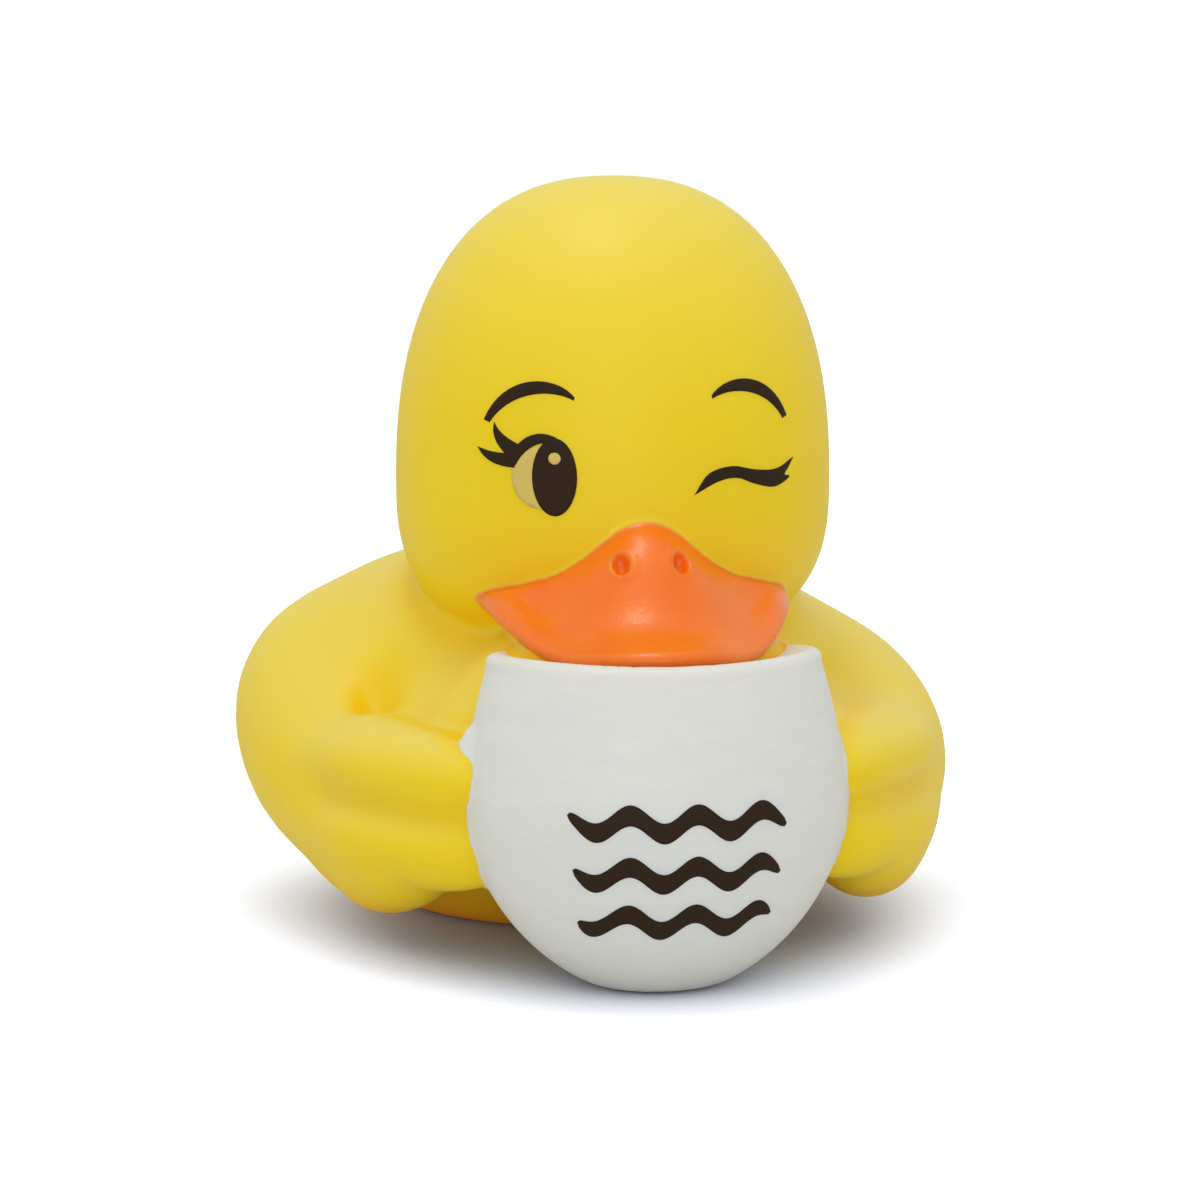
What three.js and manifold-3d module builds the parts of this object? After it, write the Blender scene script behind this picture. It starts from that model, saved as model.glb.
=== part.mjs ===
// A hollow vinyl bath duck that hugs a round mug: one moulding, sealed, standing on its own flat base.
// Millimetres, +Z up. The duck looks along -Y and the origin is the middle of its footprint on the floor.

import * as THREE from 'three';
import { mergeVertices } from 'three/addons/utils/BufferGeometryUtils.js';
import Module from 'manifold-3d';

const wasm = await Module();
wasm.setup();

// Head: an egg of superellipse section, widest at the cheeks
const HEAD_WIDTH = 52.2;
const HEAD_DEPTH = 50;
const HEAD_Y = 1;
const CHEEK_HEIGHT = 53.5;
const CROWN_RISE = 36.5;
const CHIN_DROP = 20;
const CROWN_POWER = 2.37;
const CHIN_POWER = 2.7;

// Trunk: a broad egg cut flat at the floor, a little off to the duck's right
const TRUNK_WIDTH = 67;
const TRUNK_DEPTH = 64;
const TRUNK_X = -1.8;
const TRUNK_Y = 16;
const TRUNK_HEIGHT = 18;
const TRUNK_RISE = 29.3;
const TRUNK_DROP = 22.5;
const TRUNK_POWER = 2.4;

// Breast: the broad swell between the arms, under the chin
const BREAST_WIDTH = 55;
const BREAST_DEPTH = 39;
const BREAST_Y = -12;
const BREAST_HEIGHT = 20;
const BREAST_RISE = 15.5;
const BREAST_DROP = 14.5;
const BREAST_UPPER_POWER = 2.2;
const BREAST_LOWER_POWER = 2.4;
const BREAST_PLAN_POWER = 2.6;

// Bib: the middle of the breast, which fills the mug's mouth behind the rim
const BIB_WIDTH = 40;
const BIB_DEPTH = 32;
const BIB_Y = -19;
const BIB_HEIGHT = 24;
const BIB_RISE = 19;
const BIB_DROP = 18;
const BIB_POWER = 2.4;
const BIB_PLAN_POWER = 3;

// Mug: an oval pot that leans back on the chest
const MUG_BELLY_RADIUS = 21.8;
const MUG_RIM_RADIUS = 18.9;
const MUG_HEIGHT = 37;
const MUG_BELLY_HEIGHT = 21;
const MUG_FOOT_SUNK = 1.5;
const MUG_LOWER_POWER = 1.85;
const MUG_UPPER_POWER = 1.6;
const MUG_OVAL_RATIO = 0.8;
const MUG_LEAN = THREE.MathUtils.degToRad(6);
const MUG_FOOT_Y = -33.7;
const LIP_WIDTH = 2;
const MUG_MOUTH_DEPTH = 3.4;

// Bill: a broad upper bill with a hump at its root and a thin lip over a smaller lower part
const BILL_HALF_WIDTH = 18.3;
const BILL_CORNER_Y = -14.5;
const BILL_REACH = 25.5;
const BILL_PLAN_POWER = 0.62;
const BILL_ROOT_RADIUS = 27;
const BILL_ROOT_DEPTH = 25;
const BILL_ROOT_HEIGHT = 45.6;
const BILL_ROOT_FALL = 3.2;
const BILL_FALL_POWER = 1.3;
const BILL_LIP_HEIGHT = 38.8;
const BILL_LIP_UPTURN = 4;
const BILL_LIP_THICKNESS = 1.5;
const BILL_LIP_OVERHANG = 1.3;
const BILL_THICKNESS = 6;
const BILL_CORNER_THINNING_SHARE = 0.8;
const BILL_SUNK = 4;
const HUMP_RISE = 5.7;
const HUMP_HALF_WIDTH = 6.8;
const HUMP_SIDE_POWER = 2.3;
const HUMP_LENGTH_SHARE = 0.45;

// Nostrils: shallow dimples on the flanks of the hump
const NOSTRIL_SPREAD = 3.45;
const NOSTRIL_Y = -27.8;
const NOSTRIL_HEIGHT = 47.3;
const NOSTRIL_WIDTH = 1.9;
const NOSTRIL_DEPTH = 3;
const NOSTRIL_LENGTH = 2.7;
const NOSTRIL_LEAN = THREE.MathUtils.degToRad(14);

// Limbs: rows of x, y, z of the middle line, then the half width across and the half height
const RIGHT_WING = [
  [-22.9, 29, 27.9, 12.1, 12.2],
  [-31.2, 20, 24.9, 12.7, 12.8],
  [-31.8, 9, 20.2, 12.3, 12.6],
  [-29.5, -4, 16.2, 10.1, 11],
];
const LEFT_WING = [
  [21.8, 29, 24.6, 11.7, 12.1],
  [29.4, 20, 21.3, 11.8, 12.3],
  [30.4, 7, 18.6, 12, 12.4],
  [28.9, -5, 16.2, 10.1, 10.8],
];
const TAIL = [
  [0, 25, 29, 21, 14],
  [0, 36, 34, 16, 10],
  [0, 42, 41.5, 10, 6],
  [0, 43.5, 48, 6, 3.6],
];

// Feathers of each hand from the top one down, the same on both sides
const FINGER = [
  [31.5, 0, 20.2, 8.5, 6.8],
  [29, -14, 22.6, 6.9, 5.2],
  [24.2, -25, 23.2, 5.4, 4.8],
  [20.5, -31, 23.4, 3.9, 3.9],
];
const KNUCKLE = [
  [30.3, 0, 15.2, 7.6, 6.1],
  [29.2, -13.5, 14.8, 7.5, 5.8],
  [24.3, -24.5, 15.2, 5.9, 5.3],
  [20.5, -30, 15.9, 4.2, 4.6],
];
const FINGERTIP = [
  [28.6, -3, 12.8, 6.8, 6.3],
  [27.6, -12, 11.3, 7, 6.9],
  [24.4, -20, 11.8, 6.5, 6.4],
];

// Fillets where the forms of the body flow into each other
const WING_FILLET = 6;
const BREAST_FILLET = 6;
const TAIL_FILLET = 7;
const FINGERTIP_FILLET = 3;
const KNUCKLE_FILLET = 2.6;
const FINGER_FILLET = 1.5;
const BEAD_FILLET = 1.2;

// The body's skin is found from this point inside it, by rays that start well outside it
const HEART = new THREE.Vector3(0, 7, 20.5);
const OUTSIDE = 90;

// Pad print on the head, as places across and up: both brows, an open eye and a closed one
const BROW = {
  from: [8.2, 65.8],
  over: [[10.2, 68.4], [15.6, 68.4]],
  to: [17.6, 63],
  under: [[15.6, 66.6], [10.6, 66.8]],
};
const UPPER_LASH = {
  from: [-14.3, 60.2],
  over: [[-15.3, 60.8], [-16.2, 61.6]],
  to: [-16.6, 62.7],
  under: [[-17, 61.2], [-16.4, 60]],
  root: [-15.4, 59.2],
};
const LOWER_LASH = {
  from: [-15.4, 59.1],
  over: [[-16.4, 59.2], [-17.3, 59.3]],
  to: [-18.4, 59.8],
  under: [[-17.7, 58.2], [-16.4, 57.6]],
  root: [-14.8, 57.7],
};
const LID = {
  from: [-15, 58.4],
  over: [[-13.8, 62.6], [-9.6, 62.8]],
  to: [-8, 58.6],
  under: [[-9.6, 61.3], [-12.8, 61.3]],
  root: [-14.4, 57.9],
};
const WINK = {
  from: [5.7, 54.5],
  over: [[7.5, 56.9], [10.4, 57.6], [13.5, 57], [16.2, 56.9]],
  to: [18.6, 58],
  under: [[17.2, 55.6], [15.4, 54.9], [13.2, 55.5], [11, 56.3], [8.6, 55.9]],
};
const EYE_WHITE = { middle: [-11.7, 56.55], half: [3.15, 3.6] };
const PUPIL = { middle: [-10.2, 56.65], half: [2.45, 4.45] };
const EYE_LIGHT = { middle: [-10.2, 58.8], half: [0.72, 0.72] };

// Pad print on the mug: three plain ripples, one above the other
const RIPPLE_HEIGHTS = [21.6, 15.8, 10.2];
const RIPPLE_HALF_LENGTHS = [12.2, 11.6, 10.8];
const RIPPLE_THICKNESS = 2.3;
const RIPPLE_SWING = 1;
const RIPPLE_LENGTH = 7.4;
const RIPPLE_END_POWER = 8;

// The print's stamps reach this far out to the front from the middle of each form
const PRINT_REACH = 60;

// Colours of the vinyl and of the paint and ink on it
const YELLOW = new THREE.Color(0xe6cf32);
const ORANGE = new THREE.Color(0xf47a1c);
const WHITE = new THREE.Color(0xdcddd8);
const INK = new THREE.Color(0x3a2a1a);
const EYE_CREAM = new THREE.Color(0xd6c67e);

// How finely each form is faceted
const HEAD_AROUND = 40;
const HEAD_STEPS = 12;
const MUG_AROUND = 44;
const MUG_LOWER_STEPS = 9;
const MUG_UPPER_STEPS = 5;
const LIP_STEPS = 5;
const MUG_FOOT_CROWDING = 1.4;
const BODY_AROUND = 96;
const BODY_ROWS = 46;
const BODY_ROW_CROWDING = 0.35;
const BODY_COLUMN_CROWDING = 0.3;
const DRAW_ROUNDS = 80;
const DRAW_SHARE = 0.6;
const SKIN_TOLERANCE = 1e-4;
const LIMB_BEADS = 12;
const BILL_STATIONS = 22;
const BILL_STEPS = 9;
const BILL_WIDEST_SHARE = 0.997;
const NOSTRIL_AROUND = 12;
const NOSTRIL_ROWS = 8;
const OVAL_STEPS = 24;
const CRESCENT_STEPS = 12;
const RIPPLE_STEPS = 28;
const SEAM_TOLERANCE = 1e-4;

const colourOf = new Map();

// Turns a closed mesh into a solid whose faces remember their paint
function solid(geometry, paint) {
  const bare = geometry.clone();
  bare.deleteAttribute('normal');
  bare.deleteAttribute('uv');
  const merged = mergeVertices(bare, SEAM_TOLERANCE);
  const mesh = new wasm.Mesh({
    numProp: 3,
    vertProperties: new Float32Array(merged.attributes.position.array),
    triVerts: new Uint32Array(merged.index.array),
  });
  const body = new wasm.Manifold(mesh).asOriginal();
  colourOf.set(body.originalID(), paint);
  return body;
}

// Skins a row of closed rings, each with the same number of points, and closes both ends
function loft(rings) {
  const count = rings[0].length;
  const points = rings.flat();
  const index = [];
  for (let row = 0; row + 1 < rings.length; row++) {
    for (let k = 0; k < count; k++) {
      const next = (k + 1) % count;
      const a = row * count + k;
      const b = row * count + next;
      index.push(a, b, b + count, a, b + count, a + count);
    }
  }
  const first = points.length;
  const last = first + 1;
  const middle = (ring) => ring.reduce((sum, p) => sum.add(p), new THREE.Vector3()).divideScalar(count);
  points.push(middle(rings[0]), middle(rings[rings.length - 1]));
  const top = (rings.length - 1) * count;
  for (let k = 0; k < count; k++) {
    const next = (k + 1) % count;
    index.push(first, next, k);
    index.push(last, top + k, top + next);
  }
  const geometry = new THREE.BufferGeometry().setFromPoints(points);
  geometry.setIndex(index);
  return geometry;
}

// Head as a turned egg whose upper and lower halves are superellipses
function head() {
  const profile = [];
  for (let k = 0; k <= 2 * HEAD_STEPS; k++) {
    const angle = (Math.PI * k) / (2 * HEAD_STEPS) - Math.PI / 2;
    const [power, height] = angle < 0 ? [CHIN_POWER, -CHIN_DROP] : [CROWN_POWER, CROWN_RISE];
    const across = Math.max(Math.cos(angle), 0) ** (2 / power);
    const along = Math.abs(Math.sin(angle)) ** (2 / power);
    profile.push(new THREE.Vector2((HEAD_WIDTH / 2) * across, height * along));
  }
  profile[0].x = 0;
  profile[2 * HEAD_STEPS].x = 0;
  const geometry = new THREE.LatheGeometry(profile, HEAD_AROUND);
  geometry.rotateX(Math.PI / 2);
  geometry.scale(1, HEAD_DEPTH / HEAD_WIDTH, 1);
  geometry.translate(0, HEAD_Y, CHEEK_HEIGHT);
  return solid(geometry, YELLOW);
}

// Fields: each gives about the distance from a point to a form's skin, negative inside it

// Joins two fields with a fillet about as wide as width
function blend(a, b, width) {
  const near = Math.max(width - Math.abs(a - b), 0) / width;
  return Math.min(a, b) - (near * near * width) / 4;
}

// Egg of superellipse section, upright and in plan
function eggField(point, { middle, half, rise, drop, upper, lower, plan }) {
  const x = point.x - middle[0];
  const y = point.y - middle[1];
  const z = point.z - middle[2];
  const flat = (Math.abs(x / half[0]) ** plan + Math.abs(y / half[1]) ** plan) ** (1 / plan);
  const power = z > 0 ? upper : lower;
  const up = Math.abs(z / (z > 0 ? rise : drop));
  const size = (flat ** power + up ** power) ** (1 / power);
  return size > 0 ? Math.hypot(x, y, z) * (1 - 1 / size) : -drop;
}

// Ellipsoid that is as deep as it is wide
function beadField(point, { x, y, z, across, tall }) {
  const dx = (point.x - x) / across;
  const dy = (point.y - y) / across;
  const dz = (point.z - z) / tall;
  const size = Math.hypot(dx, dy, dz);
  const slope = Math.hypot(dx / across, dy / across, dz / tall);
  return slope > 0 ? (size * (size - 1)) / slope : -tall;
}

// Beads set closely along a smooth line through a limb's rows
function beads(rows) {
  const curve = (points) => new THREE.CatmullRomCurve3(points, false, 'catmullrom', 0.5);
  const line = curve(rows.map(([x, y, z]) => new THREE.Vector3(x, y, z)));
  const girth = curve(rows.map(([, , , across, tall]) => new THREE.Vector3(across, tall, 0)));
  const result = [];
  for (let k = 0; k < LIMB_BEADS; k++) {
    const { x, y, z } = line.getPoint(k / (LIMB_BEADS - 1));
    const { x: across, y: tall } = girth.getPoint(k / (LIMB_BEADS - 1));
    result.push({ x, y, z, across, tall });
  }
  return result;
}

function limbField(point, limb) {
  return limb.reduce((field, bead) => blend(field, beadField(point, bead), BEAD_FILLET), Infinity);
}

// Trunk, wings, breast, tail and hands as one flowing skin
function bodyField() {
  const trunk = {
    middle: [TRUNK_X, TRUNK_Y, TRUNK_HEIGHT],
    half: [TRUNK_WIDTH / 2, TRUNK_DEPTH / 2],
    rise: TRUNK_RISE,
    drop: TRUNK_DROP,
    upper: TRUNK_POWER,
    lower: TRUNK_POWER,
    plan: 2,
  };
  const breast = {
    middle: [0, BREAST_Y, BREAST_HEIGHT],
    half: [BREAST_WIDTH / 2, BREAST_DEPTH / 2],
    rise: BREAST_RISE,
    drop: BREAST_DROP,
    upper: BREAST_UPPER_POWER,
    lower: BREAST_LOWER_POWER,
    plan: BREAST_PLAN_POWER,
  };
  const bib = {
    middle: [0, BIB_Y, BIB_HEIGHT],
    half: [BIB_WIDTH / 2, BIB_DEPTH / 2],
    rise: BIB_RISE,
    drop: BIB_DROP,
    upper: BIB_POWER,
    lower: BIB_POWER,
    plan: BIB_PLAN_POWER,
  };
  const [rightWing, leftWing, tail] = [RIGHT_WING, LEFT_WING, TAIL].map(beads);
  const [finger, knuckle, fingertip] = [FINGER, KNUCKLE, FINGERTIP].map(beads);
  const mirrored = new THREE.Vector3();
  return (point) => {
    mirrored.set(Math.abs(point.x), point.y, point.z);
    const chest = blend(eggField(point, breast), eggField(point, bib), BREAST_FILLET);
    let field = eggField(point, trunk);
    field = blend(field, limbField(point, point.x < 0 ? rightWing : leftWing), WING_FILLET);
    field = blend(field, chest, BREAST_FILLET);
    field = blend(field, limbField(point, tail), TAIL_FILLET);
    field = blend(field, limbField(mirrored, fingertip), FINGERTIP_FILLET);
    field = blend(field, limbField(mirrored, knuckle), KNUCKLE_FILLET);
    return blend(field, limbField(mirrored, finger), FINGER_FILLET);
  };
}

// Body below the head: a ball whose corners are drawn in along their rays until they lie on the skin
function body() {
  const geometry = new THREE.SphereGeometry(1, BODY_AROUND, BODY_ROWS);
  const corners = geometry.attributes.position;
  const field = bodyField();
  const around = new THREE.Spherical();
  const ray = new THREE.Vector3();
  const point = new THREE.Vector3();
  const across = new THREE.Vector3(1, 0, 0);
  for (let k = 0; k < corners.count; k++) {
    // Rows stand closer together at the height of the hands, and columns at the hands and the tail
    around.setFromVector3(ray.fromBufferAttribute(corners, k));
    around.phi += (BODY_ROW_CROWDING / 2) * Math.sin(2 * around.phi);
    around.theta -= (BODY_COLUMN_CROWDING / 2) * Math.sin(2 * around.theta);
    ray.setFromSpherical(around).applyAxisAngle(across, Math.PI / 2);
    let reach = OUTSIDE;
    let gap = OUTSIDE;
    for (let round = 0; round < DRAW_ROUNDS && Math.abs(gap) > SKIN_TOLERANCE; round++) {
      gap = field(point.copy(HEART).addScaledVector(ray, reach));
      reach -= DRAW_SHARE * gap;
    }
    corners.setXYZ(k, point.x, point.y, point.z);
  }
  return solid(geometry, YELLOW);
}

// Outer wall, rolled lip and shallow mouth of the mug as one turned profile
function mug() {
  const profile = [new THREE.Vector2(0, 0)];
  const roundBelow = MUG_BELLY_HEIGHT + MUG_FOOT_SUNK;
  for (let k = 0; k <= MUG_LOWER_STEPS; k++) {
    const z = MUG_BELLY_HEIGHT * (k / MUG_LOWER_STEPS) ** MUG_FOOT_CROWDING;
    const t = (MUG_BELLY_HEIGHT - z) / roundBelow;
    const r = MUG_BELLY_RADIUS * (1 - t ** MUG_LOWER_POWER) ** (1 / MUG_LOWER_POWER);
    profile.push(new THREE.Vector2(r, z));
  }
  const lipStart = MUG_HEIGHT - LIP_WIDTH / 2;
  const wall = (z) => {
    const t = (z - MUG_BELLY_HEIGHT) / (MUG_HEIGHT - MUG_BELLY_HEIGHT);
    return MUG_BELLY_RADIUS - (MUG_BELLY_RADIUS - MUG_RIM_RADIUS) * t ** MUG_UPPER_POWER;
  };
  for (let k = 1; k <= MUG_UPPER_STEPS; k++) {
    const z = MUG_BELLY_HEIGHT + ((lipStart - MUG_BELLY_HEIGHT) * k) / MUG_UPPER_STEPS;
    profile.push(new THREE.Vector2(wall(z), z));
  }
  const lipMiddle = wall(lipStart) - LIP_WIDTH / 2;
  for (let k = 1; k <= LIP_STEPS; k++) {
    const angle = (Math.PI * k) / LIP_STEPS;
    profile.push(new THREE.Vector2(
      lipMiddle + (LIP_WIDTH / 2) * Math.cos(angle),
      lipStart + (LIP_WIDTH / 2) * Math.sin(angle),
    ));
  }
  const floor = MUG_HEIGHT - MUG_MOUTH_DEPTH;
  profile.push(new THREE.Vector2(lipMiddle - LIP_WIDTH / 2, floor));
  profile.push(new THREE.Vector2(0, floor));
  const geometry = new THREE.LatheGeometry(profile, MUG_AROUND);
  geometry.rotateX(Math.PI / 2);
  geometry.scale(1, MUG_OVAL_RATIO, 1);
  geometry.rotateX(-MUG_LEAN);
  geometry.translate(0, MUG_FOOT_Y, 0);
  return solid(geometry, WHITE);
}

// Side section of the bill at a share u of its half width: the top from root to lip, then the underside
function billSection(u) {
  const x = u * BILL_HALF_WIDTH;
  const front = BILL_CORNER_Y - BILL_REACH * (1 - u * u) ** BILL_PLAN_POWER;
  const cheek = HEAD_Y - BILL_ROOT_DEPTH * Math.sqrt(Math.max(1 - (x / BILL_ROOT_RADIUS) ** 2, 0));
  const back = Math.max(cheek, front + BILL_LIP_THICKNESS);
  const inner = back + BILL_SUNK;
  const root = BILL_ROOT_HEIGHT - BILL_ROOT_FALL * u * u;
  const lip = BILL_LIP_HEIGHT + BILL_LIP_UPTURN * u ** 4;
  const thick = BILL_THICKNESS * (1 - BILL_CORNER_THINNING_SHARE * u ** 6);
  const sheet = (BILL_LIP_THICKNESS * thick) / BILL_THICKNESS;
  const top = (t) => {
    const slope = (root - lip) * (1 - t) ** BILL_FALL_POWER;
    const narrow = Math.abs(x / HUMP_HALF_WIDTH) ** HUMP_SIDE_POWER;
    return lip + slope + HUMP_RISE * Math.exp(-narrow - (t / HUMP_LENGTH_SHARE) ** 3);
  };
  const points = [new THREE.Vector3(x, inner, top(0))];
  for (let k = 0; k <= BILL_STEPS; k++) {
    const t = Math.sin(((Math.PI / 2) * k) / BILL_STEPS);
    points.push(new THREE.Vector3(x, THREE.MathUtils.lerp(back, front, t), top(t)));
  }
  points.push(new THREE.Vector3(x, front + BILL_LIP_OVERHANG / 3, lip - (2 * sheet) / 3));
  points.push(new THREE.Vector3(x, front + BILL_LIP_OVERHANG, lip - sheet));
  points.push(new THREE.Vector3(x, front + BILL_LIP_OVERHANG, lip - thick));
  points.push(new THREE.Vector3(x, inner, lip - thick));
  return points;
}

// Bill as side sections set across its width, closest together near its corners
function bill() {
  const rings = [];
  for (let k = 0; k <= BILL_STATIONS; k++) {
    const angle = (Math.PI / 2) * ((2 * k) / BILL_STATIONS - 1);
    rings.push(billSection(BILL_WIDEST_SHARE * Math.sin(angle)));
  }
  return solid(loft(rings), ORANGE);
}

function nostril(side) {
  const geometry = new THREE.SphereGeometry(1, NOSTRIL_AROUND, NOSTRIL_ROWS);
  geometry.scale(NOSTRIL_WIDTH / 2, NOSTRIL_DEPTH / 2, NOSTRIL_LENGTH / 2);
  geometry.rotateY(side * NOSTRIL_LEAN);
  geometry.translate(side * NOSTRIL_SPREAD, NOSTRIL_Y, NOSTRIL_HEIGHT);
  return solid(geometry, ORANGE);
}

// Solid with an outline as its section, from the middle of the form it marks out to the front
function stamp(outline, middleY, paint) {
  const geometry = new THREE.ExtrudeGeometry(outline, { depth: PRINT_REACH, bevelEnabled: false });
  geometry.rotateX(Math.PI / 2);
  geometry.translate(0, middleY, 0);
  return solid(geometry, paint);
}

// Gives the faces of a form inside the outline a paint of their own
function print(form, outline, middleY, paint) {
  const block = stamp(outline, middleY, paint);
  const mark = form.intersect(block).asOriginal();
  colourOf.set(mark.originalID(), paint);
  return form.subtract(block).add(mark);
}

// Crescent between two arcs, mirrored where side is -1
function crescent({ from, over, to, under, root }, side) {
  const at = ([x, z]) => new THREE.Vector2(side * x, z);
  const arc = (points) => {
    if (points.length === 4) {
      return new THREE.CubicBezierCurve(...points);
    }
    return new THREE.SplineCurve(points);
  };
  const there = arc([from, ...over, to].map(at)).getPoints(CRESCENT_STEPS);
  const back = arc([to, ...under, root ?? from].map(at)).getPoints(CRESCENT_STEPS);
  return new THREE.Shape([...there, ...back.slice(1, root ? undefined : -1)]);
}

function oval({ middle, half }) {
  const curve = new THREE.EllipseCurve(middle[0], middle[1], half[0], half[1], 0, 2 * Math.PI);
  return new THREE.Shape(curve.getPoints(OVAL_STEPS).slice(1));
}

// Wavy bar with round ends
function ripple(height, halfLength) {
  const points = [];
  for (const side of [1, -1]) {
    for (let k = 0; k < RIPPLE_STEPS; k++) {
      const x = side * halfLength * (1 - (2 * k) / RIPPLE_STEPS);
      const end = Math.sqrt(Math.max(1 - (x / halfLength) ** RIPPLE_END_POWER, 0));
      const wave = RIPPLE_SWING * Math.sin((2 * Math.PI * x) / RIPPLE_LENGTH);
      points.push(new THREE.Vector2(x, height + wave + (side * end * RIPPLE_THICKNESS) / 2));
    }
  }
  return new THREE.Shape(points);
}

function facePrint(form) {
  let face = form;
  for (const side of [-1, 1]) {
    face = print(face, crescent(BROW, side), HEAD_Y, INK);
  }
  face = print(face, crescent(WINK, 1), HEAD_Y, INK);
  face = print(face, oval(EYE_WHITE), HEAD_Y, EYE_CREAM);
  for (const lash of [UPPER_LASH, LOWER_LASH, LID]) {
    face = print(face, crescent(lash, 1), HEAD_Y, INK);
  }
  face = print(face, oval(PUPIL), HEAD_Y, INK);
  return print(face, oval(EYE_LIGHT), HEAD_Y, EYE_CREAM);
}

function mugPrint(form) {
  let pot = form;
  RIPPLE_HEIGHTS.forEach((height, k) => {
    pot = print(pot, ripple(height, RIPPLE_HALF_LENGTHS[k]), MUG_FOOT_Y, INK);
  });
  return pot;
}

// The one body that counts, without the specks that a cut can leave
function largest(pieces) {
  return pieces.decompose().reduce((best, piece) => (piece.volume() > best.volume() ? piece : best));
}

// Everything above the floor
function aboveFloor() {
  const room = 2 * OUTSIDE;
  const geometry = new THREE.BoxGeometry(room, room, room);
  geometry.translate(0, 0, room / 2);
  return solid(geometry, YELLOW);
}

function moulding() {
  let duck = body().add(facePrint(head())).add(mugPrint(mug())).add(bill());
  for (const side of [-1, 1]) {
    duck = duck.subtract(nostril(side));
  }
  return largest(duck.intersect(aboveFloor()));
}

// Faces as a plain geometry, each corner with the colour of the form it came from
function painted(form) {
  const mesh = form.getMesh();
  const position = [];
  const colour = [];
  for (let run = 0; run + 1 < mesh.runIndex.length; run++) {
    const paint = colourOf.get(mesh.runOriginalID[run]) ?? YELLOW;
    for (let k = mesh.runIndex[run]; k < mesh.runIndex[run + 1]; k++) {
      const corner = mesh.triVerts[k] * mesh.numProp;
      position.push(...mesh.vertProperties.slice(corner, corner + 3));
      colour.push(paint.r, paint.g, paint.b);
    }
  }
  const geometry = new THREE.BufferGeometry();
  geometry.setAttribute('position', new THREE.Float32BufferAttribute(position, 3));
  geometry.setAttribute('color', new THREE.Float32BufferAttribute(colour, 3));
  geometry.computeVertexNormals();
  return geometry;
}

const geometry = painted(moulding());
geometry.computeBoundingBox();
const middle = geometry.boundingBox.getCenter(new THREE.Vector3());
geometry.translate(-middle.x, -middle.y, 0);

const vinyl = new THREE.MeshStandardMaterial({
  color: 0xffffff,
  vertexColors: true,
  roughness: 0.45,
  metalness: 0,
});
const duck = new THREE.Mesh(geometry, vinyl);
duck.name = 'duck_moulding';

const part = new THREE.Group();
part.add(duck);

export default part;
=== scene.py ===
"""A soft vinyl bath duck that hugs a round white mug, dressed around its solid."""

import math

import bpy
import numpy as np
from bpy.props import FloatProperty, FloatVectorProperty, IntProperty, PointerProperty
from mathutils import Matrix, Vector
from mathutils.geometry import delaunay_2d_cdt


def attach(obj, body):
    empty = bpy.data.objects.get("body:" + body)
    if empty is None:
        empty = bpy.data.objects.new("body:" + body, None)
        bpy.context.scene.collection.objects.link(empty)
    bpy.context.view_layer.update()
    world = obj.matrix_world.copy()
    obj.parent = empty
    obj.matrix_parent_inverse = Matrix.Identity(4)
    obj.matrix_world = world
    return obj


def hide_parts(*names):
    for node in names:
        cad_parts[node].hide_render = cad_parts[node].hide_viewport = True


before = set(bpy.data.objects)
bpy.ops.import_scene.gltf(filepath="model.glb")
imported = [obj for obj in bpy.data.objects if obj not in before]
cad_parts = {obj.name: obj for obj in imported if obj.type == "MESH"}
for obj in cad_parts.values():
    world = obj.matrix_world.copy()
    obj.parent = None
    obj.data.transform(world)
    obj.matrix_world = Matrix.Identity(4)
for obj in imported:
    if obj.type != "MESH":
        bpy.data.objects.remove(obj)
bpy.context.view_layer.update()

bl_info = {
    "name": "Bath duck with a mug",
    "version": (1, 0, 0),
    "blender": (4, 5, 0),
    "location": "3D View > Sidebar > Duck",
    "description": "Builds a vinyl duck with its paint, print and a plain studio",
    "category": "Object",
}

MM = 0.001

# The forms are written in mm about a zero that lies this far from the middle of the footprint
FORMS_SHIFT = np.array([-1.15, 1.875, 0])


def linear(hex_colour):
    """Linear colour of an sRGB hex value, with alpha 1."""
    channels = [int(hex_colour[k : k + 2], 16) / 255 for k in (1, 3, 5)]
    return [c / 12.92 if c <= 0.04045 else ((c + 0.055) / 1.055) ** 2.4 for c in channels] + [1.0]


# Fields: each gives about the distance in mm from points to a form's skin, negative inside


def blend(a, b, width):
    """Joins two fields with a fillet about as wide as width."""
    near = np.maximum(width - np.abs(a - b), 0) / width
    return np.minimum(a, b) - near * near * width / 4


def carve(a, b, width):
    """Takes field b out of field a, with a rounded edge."""
    return -blend(-a, b, width)


def meet(a, b, width):
    """What two fields share, with a rounded edge."""
    return -blend(-a, -b, width)


def egg(p, middle, half, rise, drop, upper, lower, plan=2):
    """Egg of superellipse section: half widths across and deep, then how far it rises and drops."""
    q = p - np.array(middle)
    flat = (np.abs(q[:, 0] / half[0]) ** plan + np.abs(q[:, 1] / half[1]) ** plan) ** (1 / plan)
    up = np.abs(q[:, 2] / np.where(q[:, 2] > 0, rise, drop))
    power = np.where(q[:, 2] > 0, upper, lower)
    size = np.maximum((flat**power + up**power) ** (1 / power), 1e-3)
    return np.linalg.norm(q, axis=1) * (1 - 1 / size)


def ellipsoid(p, middle, radii, turn=None):
    """Ellipsoid, turned by a 3x3 matrix if one is given."""
    q = p - np.array(middle)
    if turn is not None:
        q = q @ turn
    size = np.linalg.norm(q / radii, axis=1)
    slope = np.linalg.norm(q / np.square(radii), axis=1)
    return size * (size - 1) / np.maximum(slope, 1e-6)


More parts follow.
